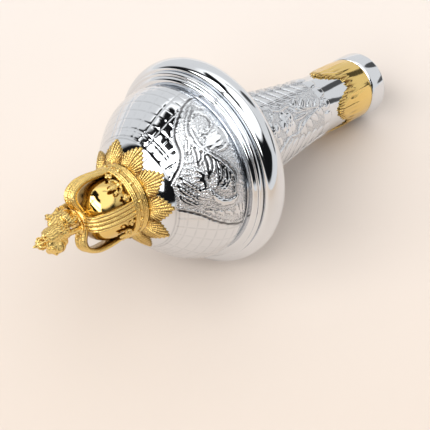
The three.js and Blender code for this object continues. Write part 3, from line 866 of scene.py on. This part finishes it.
def arches(parts):
    rows, columns = 132, 45
    knots = [(CIRCLET_RADIUS - 0.6, CIRCLET_TOP - 1), (23.0, 88), (22.4, 97.5), (18.6, 104.4), (13, 106),
             (6.5, 103.4), (0, 101.2)]
    half = smooth_line(knots, count=rows)
    inside = inward(half, -2.2)
    t = np.linspace(0, 1, rows)[:, None]
    w = np.linspace(-1, 1, columns)[None, :]
    width = 5.2 - 0.7 * t
    along = np.arange(rows)[:, None] * 0.4
    rib = np.abs(np.cos(w * 2 * pi))
    beads = np.cos(along * pi / 1.5) ** 2
    relief = 1.1 * rib**0.7 * (0.62 + 0.38 * np.where(np.abs(w) < 0.5, beads, 1)) * (1 - w**12)
    step = np.gradient(half, axis=0)
    out = np.stack([step[:, 1], -step[:, 0]], -1) / np.hypot(*step.T)[:, None]
    top = half[:, None, :] + out[:, None, :] * (relief - 0.3)[..., None]
    outer = np.stack([top[..., 0], width * w, top[..., 1]], -1)
    back = np.array([1, 0, -1])[None, :]
    inner = np.stack([np.repeat(inside[:, :1], 3, 1), width * back, np.repeat(inside[:, 1:], 3, 1)], -1)
    loop = np.concatenate([outer, inner], 1)
    total = loop.shape[1]
    quads = tube_faces(total, rows).reshape(total, rows, 4)[:, : rows - 1].reshape(-1, 4)
    points = loop.transpose(1, 0, 2).reshape(-1, 3)
    ends = [[k * rows for k in range(total)], [k * rows + rows - 1 for k in range(total)][::-1]]
    # painted shade in the grooves between the ribs and beads, and on the inner face
    hollow = np.concatenate([np.clip(1.0 - 1.7 * relief, 0, 1) * (1 - w**12), np.full((rows, 3), 0.45)], 1).T
    for k in range(4):
        parts.add(turned(points, CROWN_TURN + 90 * k), [*quads, *ends], hollow)


class Clay:
    """Rounded masses that overlap, to be melted into one skin."""

    def __init__(self):
        self.bm = bmesh.new()

    def blob(self, centre, radii, tip=0.0, turn=0.0):
        """An ellipsoid, tipped forward and turned round by angles in degrees."""
        matrix = Matrix.Translation(centre) @ Matrix.Rotation(radians(turn), 4, "Z")
        matrix = matrix @ Matrix.Rotation(radians(tip), 4, "Y") @ Matrix.Diagonal((*radii, 1))
        bmesh.ops.create_icosphere(self.bm, subdivisions=3, radius=1, matrix=matrix)

    def pair(self, centre, radii, tip=0.0, turn=0.0):
        """The same mass on both sides."""
        for s in (-1, 1):
            self.blob((centre[0], s * centre[1], centre[2]), radii, tip, s * turn)

    def limb(self, points, start, end, middle=None):
        """A round limb along a smooth line, its radius running from start through middle to end."""
        knots = smooth_line(points, count=22)
        radii = np.interp(np.linspace(0, 1, 22), [0, 0.5, 1], [start, middle or (start + end) / 2, end])
        for point, radius in zip(knots, radii):
            self.blob(point, (radius, radius, radius))

    def skin(self, voxel):
        """Melts the masses together into points, still in millimetres, and faces."""
        mesh = bpy.data.meshes.new("clay")
        self.bm.to_mesh(mesh)
        self.bm.free()
        clay = bpy.data.objects.new("clay", mesh)
        scene.collection.objects.link(clay)
        melt = clay.modifiers.new("melt", "REMESH")
        melt.mode, melt.voxel_size = "VOXEL", voxel
        smooth = clay.modifiers.new("smooth", "SMOOTH")
        smooth.factor, smooth.iterations = 0.5, 6
        melted = bpy.data.meshes.new_from_object(clay.evaluated_get(bpy.context.evaluated_depsgraph_get()))
        points = np.empty(len(melted.vertices) * 3)
        melted.vertices.foreach_get("co", points)
        faces = [tuple(face.vertices) for face in melted.polygons]
        bpy.data.objects.remove(clay)
        bpy.data.meshes.remove(mesh)
        bpy.data.meshes.remove(melted)
        return points.reshape(-1, 3), faces


def fleur():
    """A fleur-de-lis with curled side petals, its foot at the origin and its face to +X."""
    clay = Clay()
    clay.limb([(0, 0, -0.6), (0.1, 0, 3.2)], 1.3, 1.1)
    clay.blob((0.2, 0, 6.6), (1.15, 1.8, 4.0))
    petal = ((0, 0.7, 2.2), (0.3, 2.6, 2.6), (0.6, 4.3, 4.0), (0.7, 4.7, 6.0), (0.6, 3.5, 7.0),
             (0.5, 2.8, 6.0))
    for s in (-1, 1):
        clay.limb([(x, s * y, z) for x, y, z in petal], 1.0, 0.65)
    clay.blob((1.1, 0, 3.0), (0.9, 1.3, 0.9))
    return clay.skin(0.3)


def small_cross():
    """A cross of four round lobes and a bead, its foot at the origin and its face to +X."""
    clay = Clay()
    for y, z in ((0, 1.0), (0, 4.3), (-1.6, 2.7), (1.6, 2.7)):
        clay.blob((0.2, y, z), (0.9, 1.15, 1.15))
    clay.blob((0.8, 0, 2.7), (0.8, 0.8, 0.8))
    return clay.skin(0.3)


def fleurs_and_crosses(parts):
    for (points, faces), offsets in ((fleur(), (45,)), (small_cross(), (21, 69))):
        upright = points + (CIRCLET_RADIUS - 1.0, 0, CIRCLET_TOP)
        upright[:, 0] -= upright[:, 1] ** 2 / 44
        for offset in offsets:
            for k in range(4):
                # painted shade on the back of each fleur and cross
                hollow = np.clip(0.5 - points[:, 0], 0, 0.9)
                parts.add(turned(upright, CROWN_TURN + offset + 90 * k), faces, hollow)


def crown():
    parts = Parts()
    circlet(parts)
    arches(parts)
    fleurs_and_crosses(parts)
    stand = [(0.05, 99), (6.4, 99.2), (6.9, 101.4), (6.5, 102.2), (7.4, 103.2), (7.2, STAND_TOP - 0.2),
             (0.05, STAND_TOP)]
    parts.add(lathe(stand, 48), capped_faces(len(stand), 48))
    finish_piece(parts.piece("crown_cast"), "crown", CHASED_GILT)


crown()

# ---- Crown cap
# The polished gilt cap inside the arches, spun from sheet and open below.

CAP_RADIUS = 19.3
CAP_HEIGHT = 23.8
CAP_CENTRE = 75.4
CAP_WALL = 1.3  # at its top


def crown_cap():
    angle = np.radians(np.linspace(-16.5, 89.8, 60))
    full = np.where(angle > 0, 0.58, 1.0)  # rounder shoulders than an ellipse above the widest part
    across = np.abs(np.cos(angle)) ** full
    upward = np.sign(angle) * np.abs(np.sin(angle)) ** full
    outside = np.stack([CAP_RADIUS * across, CAP_CENTRE + CAP_HEIGHT * upward], -1)
    inside = outside[::-4] * (0.93, 1) - (0, CAP_WALL)
    section = np.vstack([outside, inside])
    columns = 96
    points = lathe(section, columns)
    cap = add_piece("cap_spun", points, tube_faces(len(section), columns))
    x, y, z = points.reshape(-1, 3).T
    # painted shade on the cap where the arches and the circlet stand close to it
    from_arch = 45 - np.abs((np.degrees(np.arctan2(y, x)) - CROWN_TURN) % 90 - 45)
    shade = np.clip((24 - from_arch) / 14, 0, 1) + np.clip((CIRCLET_TOP + 5 - z) / 5, 0, 1)
    paint(cap, "painted_shade", 0.8 * np.clip(shade, 0, 1))
    finish_piece(cap, "crown_cap", POLISHED_GILT)


crown_cap()

# ---- Lion
# A small crowned lion, cast solid and gilt, sits on the stand and faces across the arches. It is worked out
# facing +X with its feet at height 0, from rounded masses that are melted together.

LION_TURN = -127.0
LION_SCALE = 0.98
LION_FOOT = STAND_TOP + 0.1


def lion_masses():
    clay = Clay()
    clay.blob((0, 0, 0.9), (8.4, 6.2, 0.95))
    clay.blob((-4.6, 0, 7), (6.2, 5.0, 7.0))
    clay.blob((-1.6, 0, 13.6), (5.2, 4.5, 8.6), 18)
    clay.blob((1.6, 0, 15.5), (4.8, 4.7, 6.8), 10)
    clay.blob((-5.2, 0, 13), (4.4, 3.6, 6.4), 15)
    clay.blob((0.4, 0, 21), (4.6, 4.8, 5.4), 10)

    # legs: straight fore legs with toed paws, folded hind legs
    for s in (-1, 1):
        clay.limb([(3.6, s * 2.7, 13.5), (4.4, s * 2.9, 8), (4.7, s * 2.8, 3)], 2.4, 1.7, 1.8)
        clay.limb([(-5, s * 4.0, 8), (-0.6, s * 5.0, 6.4), (-2.4, s * 4.8, 2.2)], 3.2, 1.7, 2.6)
        for toe in (-0.95, 0, 0.95):
            clay.blob((6.3, s * 2.8 + toe, 1.5), (1.7, 0.62, 0.95))
            clay.blob((0.6, s * 4.9 + toe, 1.4), (1.8, 0.6, 0.9))

    # head: skull, face, brows, whisker pads, nose, chin, eyes and ears
    clay.blob((4.4, 0, 22.6), (5.0, 4.7, 5.0))
    clay.blob((7.4, 0, 21.8), (4.7, 4.2, 5.2))
    clay.blob((9.6, 0, 23.0), (2.9, 2.0, 2.4), 18)
    clay.pair((9.9, 1.75, 20.6), (2.7, 2.2, 2.5))
    clay.blob((12.0, 0, 22.9), (1.1, 1.7, 1.0), 24)
    clay.blob((8.9, 0, 17.2), (2.9, 2.4, 1.8), 10)
    clay.blob((6.6, 0, 16.2), (3.8, 3.8, 4.6), -12)
    clay.blob((8.4, 0, 19.2), (4.4, 4.4, 4.6))
    clay.pair((8.7, 2.7, 25.3), (2.0, 1.6, 0.9), 18, -22)
    clay.pair((9.9, 2.6, 24.0), (0.9, 0.9, 0.75))
    clay.pair((2.6, 4.2, 26.4), (1.1, 1.6, 1.9), 0, 20)

    # mane: rows of locks that hang from the face round the neck and down the chest
    rng = np.random.default_rng(3)
    rings = ((3.4, 23.2, 4.9, 8), (2.0, 21.0, 5.6, 14), (1.2, 18.0, 5.8, 16), (1.4, 15.0, 5.4, 12),
             (1.6, 12.2, 4.8, 8))
    for ring, (ahead, level, radius, tilt) in enumerate(rings):
        for k in range(13):
            turn = 360 * (k + 0.5 * (ring % 2)) / 13 + rng.uniform(-4, 4)
            a = radians(turn)
            if ring == 0 and cos(a) > 0.45:
                continue
            lean = 0.5 if ring < 2 else 0.0
            level_now = level + rng.uniform(-0.4, 0.4)
            centre = (ahead + radius * cos(a) * 0.92 - lean, radius * 0.95 * sin(a), level_now)
            clay.blob(centre, (0.9, 1.45, 3.1 + 0.4 * rng.random()), -tilt + rng.uniform(-8, 8), turn)
    tail = [(-8.6, 0, 3.0), (-11.4, 0, 4.6), (-11.8, 0, 7.6), (-10.4, 0, 10.6), (-9.6, 0, 13.4)]
    clay.limb(tail, 1.15, 1.0)
    for lean, out in ((-24, 0.0), (0, 1.2), (0, -1.2), (22, 0.0), (0, 0.0)):
        clay.blob((-9.3 + lean / 30, out, 15.4), (1.2, 1.0, 2.9), lean)
    return clay


def small_crown(clay):
    """The lion's own crown: a band, eight points, two arches and a pointed finial."""
    for k in range(16):
        a = 2 * pi * k / 16
        clay.blob((2.6 + 3.1 * cos(a), 3.1 * sin(a), 27.0), (0.75, 0.75, 0.8))
    for k in range(8):
        a = 2 * pi * k / 8
        clay.blob((2.6 + 3.6 * cos(a), 3.6 * sin(a), 28.7), (0.65, 0.65, 1.6), 10, degrees(a))
        arch = [(2.6 + 3.2 * cos(a), 3.2 * sin(a), 28), (2.6 + 3 * cos(a), 3 * sin(a), 30.4), (2.6, 0, 31.6)]
        clay.limb(arch, 0.5, 0.6)
    clay.blob((2.6, 0, 29.2), (2.5, 2.5, 2.4))
    clay.blob((2.6, 0, 32.4), (1.35, 1.35, 1.3))
    clay.blob((2.6, 0, 33.6), (0.8, 0.8, 1.4))


def lion():
    clay = lion_masses()
    small_crown(clay)
    points, faces = clay.skin(0.26)

    # fine cut hair over the body and mane, and the line of the mouth
    x, y, z = points.T
    around_body = np.arctan2(y, x + 1)
    furred = np.clip((4.4 - x) / 2, 0, 1) * (z > 2.5) * (z < 26)
    hair = np.sin(around_body * 26 + 2.2 * np.sin(z * 0.9) + 0.8 * np.sin(z * 2.3))
    mouth = np.exp(-(((z - 18.7 - 0.12 * (x - 9)) / 0.4) ** 2)) * np.clip((x - 7.4) / 0.8, 0, 1)
    cleft = np.exp(-((y / 0.26) ** 2)) * np.clip((x - 11) / 0.5, 0, 1) * (z > 18.7) * (z < 22.4)
    middle = np.array([1.0, 0.0, 14.0])
    out = points - middle
    out[:, 2] *= 0.15
    out /= np.linalg.norm(out, axis=1)[:, None]
    points = points + out * (0.04 * hair * furred - 0.55 * mouth - 0.35 * cleft)[:, None]
    standing = turned(points * LION_SCALE, LION_TURN) + (0, 0, LION_FOOT)
    beast = add_piece("lion_cast", standing, faces)
    # painted shade in the grooves of the hair, the line of the mouth and the cleft of the nose
    paint(beast, "painted_shade", np.clip(0.5 * furred * (hair < -0.2) + mouth + cleft, 0, 1))
    finish_piece(beast, "lion", CHASED_GILT)


lion()

# ---- Stage
# A plain pale floor, a room all round that lights the mace and is mirrored in it, and a camera above the
# crown.

CAMERA_AT = (-0.3366, -0.3204, 0.5469)
CAMERA_AHEAD = (0.460, 0.449, -0.766)
LENS = 83.72
OPENING = -145.0  # direction of the tent's opening, from which the room's other directions are measured
WINDOW = (-86, -4, 20, 62)  # its left, right, foot and head, in degrees
BARS = (-58, 36)  # its upright bar and its level one
WINDOW_LIGHT = (5.2, 5.15, 5.05)
TENT_SIDE = (0.87, 0.865, 0.86)
TENT_TOP = (1.5, 1.49, 1.47)
ROOM_DARK = (0.008, 0.008, 0.009)
FLOOR_FAR = (0.80, 0.765, 0.75)
FLOOR_NEAR = (0.66, 0.53, 0.42)


def floor():
    nodes = Nodes("floor", Roughness=0.62)
    split = nodes.add("ShaderNodeSeparateXYZ", None, nodes.place)
    x, y = (Val(nodes, split.outputs[k]) for k in "XY")
    nearer = 0.5 - 0.42 * (x + y + 0.05 * nodes.noise(0.9, 1.0))
    nodes.feed("Base Color", nodes.mix(nearer.clamped(), FLOOR_FAR, FLOOR_NEAR))
    mesh = bpy.data.meshes.new("floor")
    mesh.from_pydata([(-6, -6, 0), (6, -6, 0), (6, 6, 0), (-6, 6, 0)], [], [(0, 1, 2, 3)])
    ground = bpy.data.objects.new("floor", mesh)
    mesh.materials.append(nodes.material)
    scene.collection.objects.link(ground)


class RoomNodes(Nodes):
    """The node tree of the room all round."""

    def __init__(self, name):
        world = bpy.data.worlds.new(name)
        world.use_nodes = True
        scene.world = world
        self.tree = world.node_tree
        self.shader = self.tree.nodes["Background"]
        self.place = Val(self, self.add("ShaderNodeTexCoord").outputs["Generated"])


def room():
    """A white tent with one bright window of four panes, open towards a dark room on the camera's side."""
    nodes = RoomNodes("room")
    split = nodes.add("ShaderNodeSeparateXYZ", None, nodes.place)
    x, y, z = (Val(nodes, split.outputs[k]) for k in "XYZ")
    middle = radians(OPENING)
    beside_it, towards = cos(middle) * y - sin(middle) * x, cos(middle) * x + sin(middle) * y
    turn = nodes.number("ARCTAN2", beside_it, towards) * degrees(1)
    lift = nodes.number("ARCSINE", z) * degrees(1)

    def between(value, low, high, softness=3.0):
        """1 where a value lies between two limits, falling softly to 0 outside them."""
        return ((value - low) * (1 / softness)).clamped() * ((high - value) * (1 / softness)).clamped()

    def spot(turn_at, lift_at, turn_half, lift_half):
        """1 in the middle of an oval, falling softly to 0 at its edge."""
        across_it, up_it = (turn - turn_at) * (1 / turn_half), (lift - lift_at) * (1 / lift_half)
        return (2.5 - 2.5 * (across_it * across_it + up_it * up_it)).clamped()

    beside = between(turn, -106, -6)
    above = between(lift - 0.2 * turn * between(turn, 0, 90), 1, 99)
    below = 1 - ((lift - 42 - 30 * beside) * 0.25).clamped()
    dark_room = between(turn, -106, 88, 8) * above * below
    tent_edge = between(turn, 80, 215) * between(lift - 0.25 * turn, 14, 21)
    head_wall = between(turn, -142, -6) * between(lift, 50, 80)
    window = between(turn, WINDOW[0], WINDOW[1]) * between(lift, WINDOW[2], WINDOW[3])
    bars = (between(turn, BARS[0] - 2, BARS[0] + 2, 1) + between(lift, BARS[1] - 2, BARS[1] + 2, 1)).clamped()
    spots = spot(119, 5, 17, 5) + spot(146, 25, 9, 14)
    dark = (dark_room + head_wall + 0.8 * tent_edge + 0.9 * spots).clamped()
    top = ((lift - 40) * 0.1).clamped()
    tent = nodes.mix(dark, nodes.mix(top, TENT_SIDE, TENT_TOP), ROOM_DARK)
    nodes.feed("Color", nodes.mix(window * (1 - bars), tent, WINDOW_LIGHT))


def camera():
    data = bpy.data.cameras.new("camera")
    data.lens, data.sensor_width = LENS, 36
    data.clip_start = 0.01
    eye = bpy.data.objects.new("camera", data)
    eye.location = CAMERA_AT
    eye.rotation_euler = Vector(CAMERA_AHEAD).to_track_quat("-Z", "Y").to_euler()
    scene.collection.objects.link(eye)
    scene.camera = eye


floor()
room()
camera()
